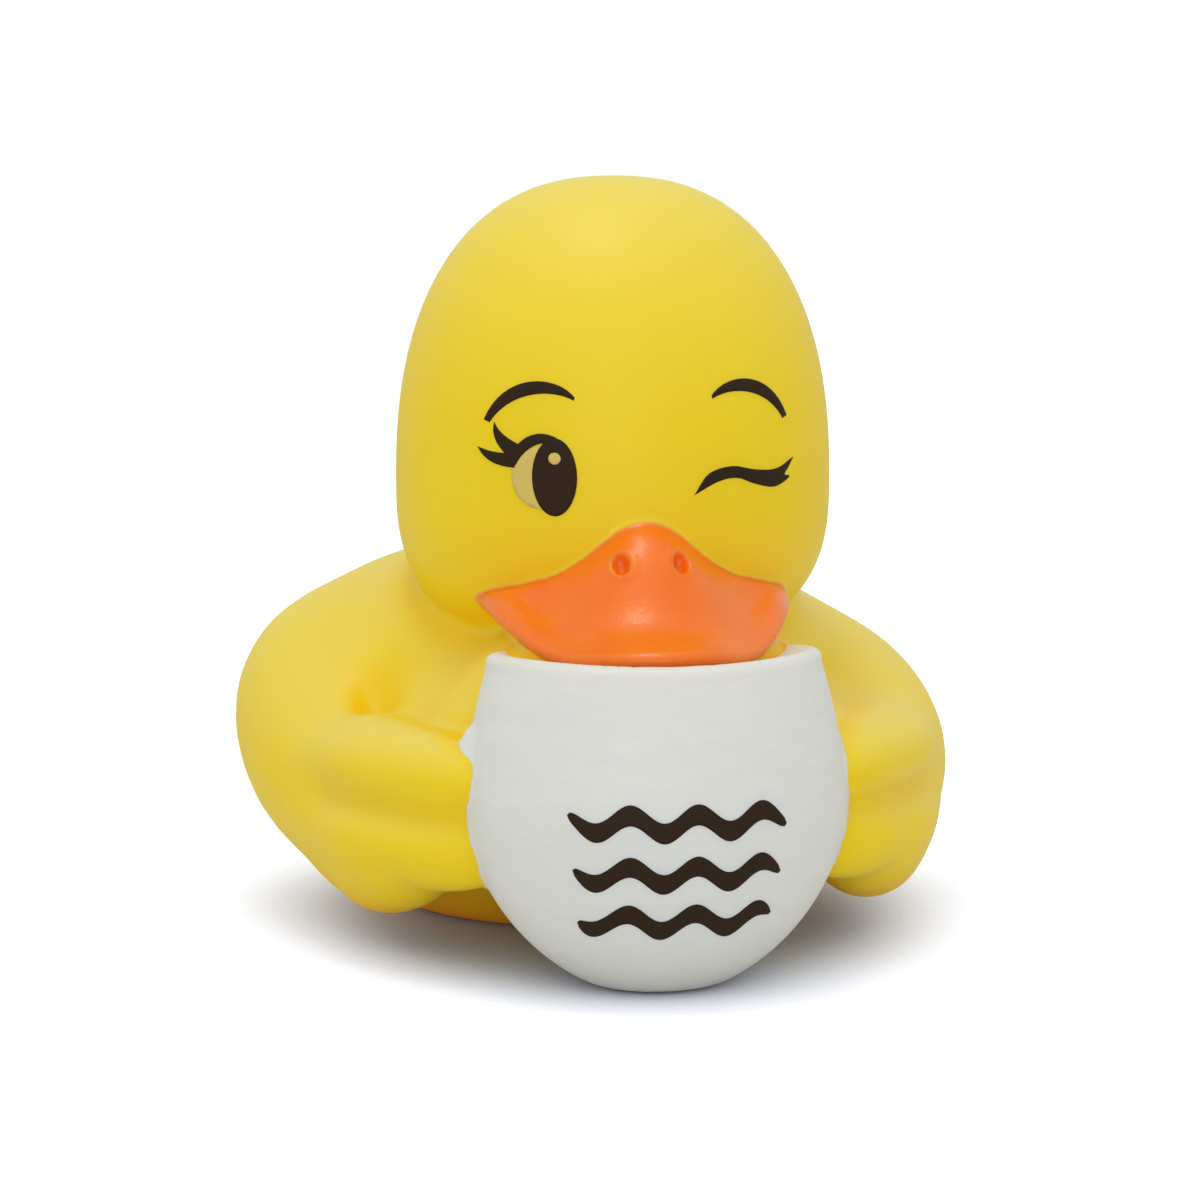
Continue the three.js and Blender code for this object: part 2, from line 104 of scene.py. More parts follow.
def catmull_rom(rows, count):
    """Evenly stepped rows on a smooth line through the given ones."""
    rows = np.array(rows, float)
    ends = np.vstack([2 * rows[0] - rows[1], rows, 2 * rows[-1] - rows[-2]])
    result = []
    for t in np.linspace(0, len(rows) - 1, count):
        k = min(int(t), len(rows) - 2)
        u = t - k
        a, b, c, d = ends[k : k + 4]
        result.append(b + 0.5 * u * (c - a + u * (2 * a - 5 * b + 4 * c - d + u * (3 * (b - c) + d - a))))
    return np.array(result)


def limb(p, beads):
    """A limb as a chain of beads: x, y, z, then the half width across and the half height."""
    field = np.full(len(p), np.inf)
    for x, y, z, across, tall in beads:
        field = blend(field, ellipsoid(p, (x, y, z), np.array([across, across, tall])), BEAD_FILLET)
    return field


def mirrored(p):
    """Points folded onto the duck's left side, for forms that are the same on both."""
    half = p.copy()
    half[:, 0] = np.abs(half[:, 0])
    return half


HEAD = dict(middle=(0, 1, 53.5), half=(26.1, 25), rise=36.5, drop=20, upper=2.37, lower=2.7)
TRUNK = dict(middle=(-1.8, 16, 18), half=(33.5, 32), rise=29.3, drop=22.5, upper=2.4, lower=2.4)
BREAST = dict(middle=(0, -12, 20), half=(27.5, 19.5), rise=15.5, drop=14.5, upper=2.2, lower=2.4, plan=2.6)
BIB = dict(middle=(0, -19, 24), half=(20, 16), rise=19, drop=18, upper=2.4, lower=2.4, plan=3)

LIMB_BEADS = 12
RIGHT_WING = catmull_rom(
    [
        (-22.9, 29, 27.9, 12.1, 12.2),
        (-31.2, 20, 24.9, 12.7, 12.8),
        (-31.8, 9, 20.2, 12.3, 12.6),
        (-29.5, -4, 16.2, 10.1, 11),
    ],
    LIMB_BEADS,
)
LEFT_WING = catmull_rom(
    [
        (21.8, 29, 24.6, 11.7, 12.1),
        (29.4, 20, 21.3, 11.8, 12.3),
        (30.4, 7, 18.6, 12, 12.4),
        (28.9, -5, 16.2, 10.1, 10.8),
    ],
    LIMB_BEADS,
)
TAIL = catmull_rom(
    [(0, 25, 29, 21, 14), (0, 36, 34, 16, 10), (0, 42, 41.5, 10, 6), (0, 43.5, 48, 6, 3.6)],
    LIMB_BEADS,
)
FINGER = catmull_rom(
    [
        (31.5, 0, 20.2, 8.5, 6.8),
        (29, -14, 22.6, 6.9, 5.2),
        (24.2, -25, 23.2, 5.4, 4.8),
        (20.5, -31, 23.4, 3.9, 3.9),
    ],
    LIMB_BEADS,
)
KNUCKLE = catmull_rom(
    [
        (30.3, 0, 15.2, 7.6, 6.1),
        (29.2, -13.5, 14.8, 7.5, 5.8),
        (24.3, -24.5, 15.2, 5.9, 5.3),
        (20.5, -30, 15.9, 4.2, 4.6),
    ],
    LIMB_BEADS,
)
FINGERTIP = catmull_rom(
    [(28.6, -3, 12.8, 6.8, 6.3), (28.8, -11.5, 11.5, 6.8, 6.8), (26.8, -18.5, 12.7, 5.8, 5.8)],
    LIMB_BEADS,
)
# Widths of the fillets that blend the forms
BEAD_FILLET = 1.2
WING_FILLET = 6
BREAST_FILLET = 6
TAIL_FILLET = 7
FINGERTIP_FILLET = 3
KNUCKLE_FILLET = 2.6
FINGER_FILLET = 1.5
ARMPIT_FILLET = 5
NECK_FILLET = 1.8
MUG_FILLET = 0.8
BILL_FILLET = 0.6
FOOT_ROUNDING = 0.8

# A soft hollow above the duck's right hand, where the wing meets the breast
ARMPIT = dict(middle=(-29.4, -4, 30.4), radii=np.array([1, 1.8, 3.2]))

MUG_BELLY_RADIUS = 21.8
MUG_RIM_RADIUS = 18.9
MUG_HEIGHT = 37
MUG_BELLY_HEIGHT = 21
MUG_ROUND_BELOW = 22.5
MUG_LOWER_POWER = 1.85
MUG_UPPER_POWER = 1.6
MUG_OVAL = 0.8
MUG_SIDE_RISE = 1.3
MUG_LEAN = math.radians(6)
MUG_FOOT_Y = -33.7
LIP_WIDTH = 2
LIP_PROUD = 0.28
LIP_MIDDLE = 0.8
LIP_BAND = 0.75
LIP_ROUNDING = 1.6
MUG_MOUTH_DEPTH = 3.4
MOUTH_FLOOR_ROUNDING = 1
MOUTH_ROUNDING = 1.4
# The oval squeezes the mug's field, which this brings back to about a distance
MUG_FIELD_SCALE = 0.9

# Paint has pooled in a lump where the right hand's top feather meets the mug
PAINT_LUMP = dict(middle=(-20.9, -31, 27.4), radii=np.array([1.15, 1.7, 1.9]))
PAINT_LUMP_FILLET = 1.6

BILL_HALF_WIDTH = 18.3
BILL_CORNER_Y = -14.5
BILL_BACK_Y = 4
BILL_REACH = 25.5
BILL_PLAN_POWER = 0.62
BILL_ROOT_HEIGHT = 45.6
BILL_ROOT_FALL = 3.2
BILL_SLOPE_POWER = 1.3
BILL_LIP_HEIGHT = 38.8
BILL_LIP_UPTURN = 4
BILL_LIP_DROOP = dict(depth=1.1, place=0.62, width=0.24)
BILL_THICKNESS = 6
# The oval front of the face, which the bill grows out of
FACE_MIDDLE_Y = 1
FACE_DEPTH = 25
FACE_HALF_WIDTH = 27
# These bring the fields of the bill's sloping top and of its outline back to about a distance
BILL_TOP_SCALE = 0.75
BILL_OUTLINE_SCALE = 13
SHEET_THICKNESS = 1.5
SHEET_TOP_ROUNDING = 1.1
SHEET_EDGE_ROUNDING = 0.8
UNDERSIDE_IN = 4.5
UNDERSIDE_BACK = 1.3
UNDERSIDE_ROUNDING = 0.8
UNDERSIDE_FILLET = 0.5
SIDE_THINNING = 0.8
BILL_BACK_ROUNDING = 1
BILL_HUMP = dict(height=5.7, width=6.8, length=0.45)
LIP_CURL = dict(height=0.3, place=0.97, width=0.05)
SIDE_HOLLOW = dict(depth=0.55, x=11.8, width=2.4, place=0.22, length=0.25)
SIDE_EDGE = dict(height=0.4, x=15.5, width=1.4, place=0.35, length=0.3)

NOSTRIL = dict(spread=3.45, y=-27.8, height=47.3, radii=(0.95, 1.5, 1.35), lean=math.radians(14))
# Paint narrows each nostril a little, and a low ring stands round it
NOSTRIL_PAINT = 0.05
NOSTRIL_ROUNDING = 0.5
RING = dict(grow=0.35, half_width=0.28, height=0.35, rounding=0.5, fillet=0.6)


def body(p):
    """Trunk, wings, breast, tail, hands and head as one flowing skin."""
    half = mirrored(p)
    right = p[:, 0] < 0
    wing = np.empty(len(p))
    wing[right] = limb(p[right], RIGHT_WING)
    wing[~right] = limb(p[~right], LEFT_WING)
    field = blend(egg(p, **TRUNK), wing, WING_FILLET)
    chest = blend(egg(p, **BREAST), egg(p, **BIB), BREAST_FILLET)
    field = blend(field, chest, BREAST_FILLET)
    field = blend(field, limb(p, TAIL), TAIL_FILLET)
    field = blend(field, limb(half, FINGERTIP), FINGERTIP_FILLET)
    field = blend(field, limb(half, KNUCKLE), KNUCKLE_FILLET)
    field = blend(field, limb(half, FINGER), FINGER_FILLET)
    field = carve(field, ellipsoid(p, **ARMPIT), ARMPIT_FILLET)
    return blend(field, egg(p, **HEAD), NECK_FILLET)


def mug_place(p):
    """Points in the mug's own upright frame: across, deep with the oval taken out, and up."""
    c, s = math.cos(MUG_LEAN), math.sin(MUG_LEAN)
    y = p[:, 1] - MUG_FOOT_Y
    return p[:, 0], (c * y - s * p[:, 2]) / MUG_OVAL, s * y + c * p[:, 2]


def mug_wall(z):
    """Outer radius of the mug at a height."""
    t = np.clip((MUG_BELLY_HEIGHT - z) / MUG_ROUND_BELOW, 0, 0.9999)
    low = MUG_BELLY_RADIUS * (1 - t**MUG_LOWER_POWER) ** (1 / MUG_LOWER_POWER)
    u = np.clip((z - MUG_BELLY_HEIGHT) / (MUG_HEIGHT - MUG_BELLY_HEIGHT), 0, 1.2)
    return low - (MUG_BELLY_RADIUS - MUG_RIM_RADIUS) * u**MUG_UPPER_POWER


def mug(p):
    """Round mug with a rolled lip, a shallow mouth and a lump of paint on its side."""
    x, y, z = mug_place(p)
    r = np.hypot(x, y)
    t = np.maximum((MUG_BELLY_HEIGHT - z) / MUG_ROUND_BELOW, 0)
    ball = ((r / MUG_BELLY_RADIUS) ** MUG_LOWER_POWER + t**MUG_LOWER_POWER) ** (1 / MUG_LOWER_POWER)
    below = np.hypot(r, MUG_BELLY_HEIGHT - z) * (1 - 1 / np.maximum(ball, 1e-3))
    wall = np.where(z < MUG_BELLY_HEIGHT, below, r - mug_wall(z))
    # The rolled lip rises to both sides and stands a little proud of the wall below it
    rim = MUG_HEIGHT + MUG_SIDE_RISE * (x / MUG_RIM_RADIUS) ** 2
    lip = LIP_PROUD * np.exp(-(((z - rim + LIP_MIDDLE) / LIP_BAND) ** 2))
    pot = meet(wall - lip, z - rim, LIP_ROUNDING)
    depth = MUG_MOUTH_DEPTH * np.maximum(1 - (x / (MUG_RIM_RADIUS - LIP_WIDTH)) ** 2, 0)
    mouth = meet(r - (MUG_RIM_RADIUS - LIP_WIDTH), rim - depth - z, MOUTH_FLOOR_ROUNDING)
    pot = carve(pot, mouth, MOUTH_ROUNDING) * MUG_FIELD_SCALE
    return blend(pot, ellipsoid(p, **PAINT_LUMP), PAINT_LUMP_FILLET)


def lip_height(u):
    """Height of the bill's lip: it droops to both sides of its middle and turns up at the corners."""
    away = (u - BILL_LIP_DROOP["place"]) / BILL_LIP_DROOP["width"]
    return BILL_LIP_HEIGHT + BILL_LIP_UPTURN * u**4 - BILL_LIP_DROOP["depth"] * np.exp(-(away**2))


def ridge(x, t, form):
    """Bump of one mm at a place across and along the bill, which fades out over its width and length."""
    across = ((x - form["x"]) / form["width"]) ** 2
    return np.exp(-across - ((t - form["place"]) / form["length"]) ** 2)


def bill_top(x, y):
    """Height of the bill's upper side: it falls from root to lip, with a hump in the middle of its root."""
    u = np.minimum(x / BILL_HALF_WIDTH, 1)
    front = BILL_CORNER_Y - BILL_REACH * (1 - u * u) ** BILL_PLAN_POWER
    face = FACE_MIDDLE_Y - FACE_DEPTH * np.sqrt(np.maximum(1 - (x / FACE_HALF_WIDTH) ** 2, 0.05))
    t = np.clip((face - y) / np.maximum(face - front, 0.5), -0.3, 1.2)
    along = np.clip(t, 0, 1)
    root = BILL_ROOT_HEIGHT - BILL_ROOT_FALL * (x / BILL_HALF_WIDTH) ** 2
    lip = lip_height(u)
    slope = lip + (root - lip) * (1 - along) ** BILL_SLOPE_POWER
    fall = (x / BILL_HUMP["width"]) ** 2.3 + (along / BILL_HUMP["length"]) ** 3
    hump = BILL_HUMP["height"] * np.exp(-fall)
    curl = LIP_CURL["height"] * np.exp(-(((t - LIP_CURL["place"]) / LIP_CURL["width"]) ** 2))
    hollow = SIDE_HOLLOW["depth"] * ridge(x, t, SIDE_HOLLOW)
    edge = SIDE_EDGE["height"] * ridge(x, t, SIDE_EDGE)
    return slope + hump + curl - hollow + edge


def nostril(p, grow):
    """Leaning ellipsoid of each nostril, larger by grow all round."""
    c, s = math.cos(NOSTRIL["lean"]), math.sin(NOSTRIL["lean"])
    turn = np.array([[c, 0, s], [0, 1, 0], [-s, 0, c]])
    middle = (NOSTRIL["spread"], NOSTRIL["y"], NOSTRIL["height"])
    return ellipsoid(mirrored(p), middle, np.array(NOSTRIL["radii"]) + grow, turn)


def bill(p):
    """Thin upper sheet with a sharp lip, over an underside that stands back from it, and the nostrils."""
    x, y, z = np.abs(p[:, 0]), p[:, 1], p[:, 2]
    u = np.minimum(x / BILL_HALF_WIDTH, 1)
    forward = np.maximum(BILL_CORNER_Y - y, 0)
    plan = np.hypot(x / BILL_HALF_WIDTH, (forward / BILL_REACH) ** (0.5 / BILL_PLAN_POWER))
    under_reach = BILL_REACH - UNDERSIDE_BACK
    inset = np.hypot(x / (BILL_HALF_WIDTH - UNDERSIDE_IN), (forward / under_reach) ** (0.5 / BILL_PLAN_POWER))
    top = (z - bill_top(x, y)) * BILL_TOP_SCALE
    lip = lip_height(u)
    sheet = meet(top, (plan - 1) * BILL_OUTLINE_SCALE, SHEET_TOP_ROUNDING)
    sheet = meet(sheet, lip - SHEET_THICKNESS - z, SHEET_EDGE_ROUNDING)
    thick = BILL_THICKNESS * (1 - SIDE_THINNING * u**6)
    lower = meet(top, (inset - 1) * BILL_OUTLINE_SCALE, UNDERSIDE_ROUNDING)
    lower = meet(lower, lip - thick - z, UNDERSIDE_ROUNDING)
    beak = meet(blend(sheet, lower, UNDERSIDE_FILLET), y - BILL_BACK_Y, BILL_BACK_ROUNDING)
    ring = np.abs(nostril(p, RING["grow"])) - RING["half_width"]
    beak = blend(beak, meet(ring, beak - RING["height"], RING["rounding"]), RING["fillet"])
    return carve(beak, nostril(p, -NOSTRIL_PAINT), NOSTRIL_ROUNDING)


def duck_fields(points):
    """The yellow body, the mug and the bill as separate fields, at points in mm in the row frame."""
    p = points + FORMS_SHIFT
    return body(p), mug(p), bill(p)


def duck(points):
    """The whole duck as one field, cut off flat at the floor, at points in mm in the row frame."""
    vinyl, pot, beak = duck_fields(points)
    whole = blend(blend(vinyl, pot, MUG_FILLET), beak, BILL_FILLET)
    return meet(whole, -points[:, 2], FOOT_ROUNDING)


def in_parts(field, points, size=120000):
    """Evaluates a field a part at a time, to keep memory small."""
    return np.concatenate([field(points[k : k + size]) for k in range(0, len(points), size)])


def graded(low, high, fine_from, fine_to, fine, coarse):
    """Places from low to high, close together between fine_from and fine_to."""
    places = [low]
    while places[-1] < high:
        here = places[-1]
        places.append(here + (fine if fine_from <= here <= fine_to else coarse))
    return np.array(places)


# Grid points whose coarse value is within this many mm are worked out again exactly
NEAR_SKIN = 3.2
COARSE_STRIDE = 4


def skin_points(field, axes):
    """Corners and four-sided faces of a field's zero skin, by surface nets on a grid of those axes."""
    counts = [len(a) for a in axes]
    coarse = [np.unique(np.append(a[::COARSE_STRIDE], a[-1])) for a in axes]
    grid = np.stack(np.meshgrid(*coarse, indexing="ij"), -1).reshape(-1, 3)
    value = in_parts(field, grid).reshape([len(c) for c in coarse])
    for k in range(3):
        place = np.interp(axes[k], coarse[k], np.arange(len(coarse[k])))
        low = np.minimum(place.astype(int), len(coarse[k]) - 2)
        part = (place - low).reshape([-1 if j == k else 1 for j in range(3)])
        value = np.take(value, low, k) * (1 - part) + np.take(value, low + 1, k) * part
    near = np.argwhere(np.abs(value) < NEAR_SKIN)
    places = np.stack([axes[k][near[:, k]] for k in range(3)], -1)
    value[tuple(near.T)] = in_parts(field, places)

    corners = [(i, j, k) for i in (0, 1) for j in (0, 1) for k in (0, 1)]
    spans = [[slice(step, count - 1 + step) for step, count in zip(corner, counts)] for corner in corners]
    parts = [value[tuple(span)] for span in spans]
    signs = [part < 0 for part in parts]
    mixed = np.logical_or.reduce(signs) & ~np.logical_and.reduce(signs)
    cells = np.argwhere(mixed)
    number = -np.ones(mixed.shape, int)
    number[mixed] = np.arange(len(cells))
    values = [part[mixed] for part in parts]
    total = np.zeros((len(cells), 3))
    hits = np.zeros(len(cells))
    for a in range(8):
        for b in range(a + 1, 8):
            if sum(abs(m - n) for m, n in zip(corners[a], corners[b])) != 1:
                continue
            crossed = (values[a] < 0) != (values[b] < 0)
            t = values[a][crossed] / (values[a][crossed] - values[b][crossed])
            start = np.array(corners[a], float)
            total[crossed] += start + t[:, None] * (np.array(corners[b]) - start)
            hits[crossed] += 1
    local = total / hits[:, None]
    verts = np.empty((len(cells), 3))
    for k in range(3):
        step = np.diff(axes[k])
        verts[:, k] = axes[k][cells[:, k]] + step[cells[:, k]] * local[:, k]

    inside = value < 0
    faces = []
    for k in range(3):
        u, v = (k + 1) % 3, (k + 2) % 3
        here = np.take(inside, range(counts[k] - 1), k)
        there = np.take(inside, range(1, counts[k]), k)
        edges = np.argwhere(here != there)
        clear = (edges[:, u] > 0) & (edges[:, v] > 0)
        clear &= (edges[:, u] < counts[u] - 1) & (edges[:, v] < counts[v] - 1)
        edges = edges[clear]
        quad = []
        for du, dv in ((1, 1), (0, 1), (0, 0), (1, 0)):
            cell = edges.copy()
            cell[:, u] -= du
            cell[:, v] -= dv
            quad.append(number[tuple(cell.T)])
        quad = np.stack(quad, -1)
        back = ~here[tuple(edges.T)]
        quad[back] = quad[back][:, ::-1]
        faces.append(quad)
    return verts, np.concatenate(faces)


def slope_of(field, points, step=0.05):
    """Gradient of a field at points."""
    parts = []
    for k in range(3):
        shift = np.zeros(3)
        shift[k] = step
        parts.append((in_parts(field, points + shift) - in_parts(field, points - shift)) / (2 * step))
    return np.stack(parts, -1)


# Longest move in mm of a point in one round as it settles on the skin
SETTLE_LIMIT = 0.4


def settle(field, points, rounds=2):
    """Moves points onto the field's zero skin."""
    for _ in range(rounds):
        value = in_parts(field, points)
        slope = slope_of(field, points)
        steep = np.maximum((slope**2).sum(1), 0.05)
        move = slope * (value / steep)[:, None]
        length = np.linalg.norm(move, axis=1, keepdims=True)
        points = points - move * np.minimum(1, SETTLE_LIMIT / np.maximum(length, 1e-9))
    return points


# How far out from the skin the room is felt, in mm, with the share that each reach gives
HOLLOW_REACHES = ((3.0, 0.02), (8.0, 0.22))
# Painted amber shade creeps this far up from the floor, in mm
NEAR_FLOOR = 9


# Mask of the painted amber shade, which also keeps the painted top sheen out of the hollows
def painted_shade_mask_at(verts):
    """How closed in the skin is at each point: 0 in the open, 1 deep in a hollow or close over the floor."""
    out = slope_of(duck, verts)
    out /= np.maximum(np.linalg.norm(out, axis=1, keepdims=True), 1e-6)
    closed_in = np.zeros(len(verts))
    for reach, share in HOLLOW_REACHES:
        room = in_parts(duck, verts + out * reach)
        closed_in += share * (1 - np.clip(room / reach, 0, 1))
    near_floor = np.clip(1 - verts[:, 2] / NEAR_FLOOR, 0, 1)
    return np.maximum(closed_in, near_floor)


def new_object(name, verts, faces, smooth=True):
    """A mesh object from points in mm in the row frame."""
    mesh = bpy.data.meshes.new(name)
    mesh.from_pydata((np.asarray(verts) * MM).tolist(), [], faces)
    mesh.validate()
    mesh.update()
    if smooth:
        mesh.shade_smooth()
    piece = bpy.data.objects.new(name, mesh)
    bpy.context.scene.collection.objects.link(piece)
    return piece


def keep_value(piece, name, values):
    """Stores one number at each corner of a piece, for its material."""
    layer = piece.data.attributes.new(name, "FLOAT", "POINT")
    layer.data.foreach_set("value", np.asarray(values, np.float32))


# Materials


def add_node(tree, kind, settings=None, links=None):
    """Adds a shader node with its settings and links: settings by property or socket, links by socket."""
    made = tree.nodes.new(kind)
    for key, value in (settings or {}).items():
        if isinstance(key, str) and hasattr(made, key):
            setattr(made, key, value)
        else:
            made.inputs[key].default_value = value
    for key, source in (links or {}).items():
        tree.links.new(source, made.inputs[key])
    return made


def new_material(name):
    """An empty material, with its node tree."""
    material = bpy.data.materials.new(name)
    material.use_nodes = True
    material.node_tree.nodes.clear()
    return material, material.node_tree


# Widths of the patterns in the vinyl and its paint, in mm
CLOUD_SIZE = 14
SPRAY_SIZE = 5
WANDER_SIZE = 2.6
WIPE_SIZE = 6
RAGGED_SIZE = 3.4
GRAIN_SIZE = 0.5
PEEL_SIZE = 0.45
WAVE_SIZE = 3.2
# Heights of the waves in the white and of the paint over the vinyl, in mm
WAVE_HEIGHT = 0.05
PAINT_HEIGHT = 0.04
# The ink's grain: its width and height in mm, and how many times paler the ink gets in it
INK_GRAIN_SIZE = 0.5
INK_GRAIN_HEIGHT = 0.02
INK_PALER = 1.12


def soft_vinyl_with_sprayed_enamel(look):
    """Slush-moulded PVC in yellow: a satin skin that lets light in a little, with amber painted shade and
    bounce light in its hollows and near the floor, and a paler painted top sheen on what faces up.

    Orange is sprayed on the bill and levels to a gloss with a fine orange peel. White is sprayed on the
    mug and stays satin, with a ragged border where the mask lifted at the hands.
    """
    material, tree = new_material("slush_moulded_soft_vinyl")
    place = add_node(tree, "ShaderNodeTexCoord").outputs["Object"]
    hollow = add_node(tree, "ShaderNodeAttribute", {"attribute_name": "hollow"}).outputs["Fac"]
    bill_edge = add_node(tree, "ShaderNodeAttribute", {"attribute_name": "bill_edge"}).outputs["Fac"]
    mug_edge = add_node(tree, "ShaderNodeAttribute", {"attribute_name": "mug_edge"}).outputs["Fac"]

    # Pigment clouds about as wide as a finger, a shade deeper and a shade paler
    clouds = add_node(
        tree, "ShaderNodeTexNoise", {"Scale": 1 / (CLOUD_SIZE * MM), "Detail": 2.0}, {"Vector": place}
    ).outputs["Fac"]
    yellow = add_node(
        tree,
        "ShaderNodeMix",
        {"data_type": "RGBA", 6: list(look.vinyl_deep), 7: list(look.vinyl_pale)},
        {0: clouds},
    ).outputs[2]
    # Painted top sheen: a paler yellow on what faces up, standing in for the top lamp's light, though not
    # down in the hollows
    normal = add_node(tree, "ShaderNodeNewGeometry").outputs["Normal"]
    facing_up = add_node(tree, "ShaderNodeSeparateXYZ", links={0: normal}).outputs["Z"]
    painted_top_sheen = add_node(
        tree, "ShaderNodeMapRange", {"From Min": 0.1, "From Max": 0.95}, {"Value": facing_up}
    ).outputs[0]
    open_skin = add_node(
        tree, "ShaderNodeMapRange", {"From Min": 0.01, "From Max": 0.12, "To Min": 1.0, "To Max": 0.0},
        {"Value": hollow},
    ).outputs[0]
    painted_top_sheen = add_node(tree, "ShaderNodeMath", {"operation": "MULTIPLY"}, {0: painted_top_sheen, 1: open_skin}).outputs[0]
    yellow = add_node(
        tree, "ShaderNodeMix", {"data_type": "RGBA", 7: list(look.vinyl_painted_top_sheen)}, {0: painted_top_sheen, 6: yellow}
    ).outputs[2]
    # Painted shade and bounce light: amber mixed in the hollows and close over the floor
    yellow = add_node(
        tree, "ShaderNodeMix", {"data_type": "RGBA", 7: list(look.vinyl_painted_shade)}, {0: hollow, 6: yellow}
    ).outputs[2]

    # Spray clouds on the bill, and a border that wanders by up to half a millimetre
    spray = add_node(
        tree, "ShaderNodeTexNoise", {"Scale": 1 / (SPRAY_SIZE * MM), "Detail": 2.0}, {"Vector": place}
    ).outputs["Fac"]
    orange = add_node(
        tree,
        "ShaderNodeMix",
        {"data_type": "RGBA", 6: list(look.orange_deep), 7: list(look.orange_pale)},
        {0: spray},
    ).outputs[2]
    wander = add_node(
        tree, "ShaderNodeTexNoise", {"Scale": 1 / (WANDER_SIZE * MM), "Detail": 3.0, "Roughness": 0.6},
        {"Vector": place},
    ).outputs["Fac"]
    bill_border = add_node(
        tree, "ShaderNodeMath", {"operation": "MULTIPLY_ADD", 1: 0.5}, {0: wander, 2: bill_edge}
    ).outputs[0]
    orange_cover = add_node(
        tree, "ShaderNodeMapRange", {"From Min": 0.0, "From Max": 0.5}, {"Value": bill_border}
    ).outputs[0]
    gloss = add_node(
        tree, "ShaderNodeMapRange", {"From Min": 0.0, "From Max": 0.5, "To Max": 0.35}, {"Value": bill_border}
    ).outputs[0]
    # The spray thins to a pinkish tone over the last half millimetre
    thin_spray = add_node(
        tree, "ShaderNodeMapRange", {"From Min": 0.3, "From Max": 0.8, "To Min": 0.5, "To Max": 0.0},
        {"Value": bill_border},
    ).outputs[0]
    orange = add_node(
        tree, "ShaderNodeMix", {"data_type": "RGBA", 7: list(look.orange_thin)}, {0: thin_spray, 6: orange}
    ).outputs[2]

    # White with wipe marks drawn out sideways, and a border ragged by about a millimetre
    drawn_out = add_node(
        tree, "ShaderNodeMapping", {"Scale": (1, 1, 3.5)}, {"Vector": place}
    ).outputs[0]
    wipes = add_node(
        tree, "ShaderNodeTexNoise", {"Scale": 1 / (WIPE_SIZE * MM), "Detail": 5.0, "Roughness": 0.62},
        {"Vector": drawn_out},
    ).outputs["Fac"]
    white = add_node(
        tree,
        "ShaderNodeMix",
        {"data_type": "RGBA", 6: list(look.white_worn), 7: list(look.white)},
        {0: wipes},
    ).outputs[2]
    ragged = add_node(
        tree, "ShaderNodeTexNoise", {"Scale": 1 / (RAGGED_SIZE * MM), "Detail": 4.0, "Roughness": 0.65},
        {"Vector": place},
    ).outputs["Fac"]
    mug_border = add_node(
        tree, "ShaderNodeMath", {"operation": "MULTIPLY_ADD", 1: 1.5}, {0: ragged, 2: mug_edge}
    ).outputs[0]
    white_cover = add_node(
        tree, "ShaderNodeMapRange", {"From Min": 0.62, "From Max": 0.84}, {"Value": mug_border}
    ).outputs[0]

    colour = add_node(
        tree, "ShaderNodeMix", {"data_type": "RGBA"}, {0: orange_cover, 6: yellow, 7: orange}
    ).outputs[2]
    colour = add_node(
        tree, "ShaderNodeMix", {"data_type": "RGBA"}, {0: white_cover, 6: colour, 7: white}
    ).outputs[2]

    # Grain of the mould, orange peel of the sprayed bill and slow waves in the white, in millimetres high.
    # The real grain is near 0.1 mm wide and is drawn five times as coarse so that it shows
    grain = add_node(
        tree, "ShaderNodeTexNoise", {"Scale": 1 / (GRAIN_SIZE * MM), "Detail": 2.0}, {"Vector": place}
    ).outputs["Fac"]
    peel = add_node(
        tree, "ShaderNodeTexNoise", {"Scale": 1 / (PEEL_SIZE * MM), "Detail": 3.0, "Roughness": 0.6},
        {"Vector": place},
    ).outputs["Fac"]
    waves = add_node(
        tree, "ShaderNodeTexNoise", {"Scale": 1 / (WAVE_SIZE * MM), "Detail": 2.0}, {"Vector": drawn_out}
    ).outputs["Fac"]
    peel_height = add_node(
        tree, "ShaderNodeMath", {"operation": "MULTIPLY"}, {0: peel, 1: orange_cover}
    ).outputs[0]
    wave_height = add_node(
        tree, "ShaderNodeMath", {"operation": "MULTIPLY"}, {0: waves, 1: white_cover}
    ).outputs[0]
    painted = add_node(
        tree, "ShaderNodeMath", {"operation": "MAXIMUM"}, {0: orange_cover, 1: white_cover}
    ).outputs[0]
    height = add_node(
        tree, "ShaderNodeMath", {"operation": "MULTIPLY", 1: look.grain_height}, {0: grain}
    ).outputs[0]
    layers = ((look.peel_height, peel_height), (WAVE_HEIGHT, wave_height), (PAINT_HEIGHT, painted))
    for rise, part in layers:
        height = add_node(
            tree, "ShaderNodeMath", {"operation": "MULTIPLY_ADD", 1: rise}, {0: part, 2: height}
        ).outputs[0]
    bump = add_node(
        tree, "ShaderNodeBump", {"Strength": 1.0, "Distance": MM}, {"Height": height}
    ).outputs[0]

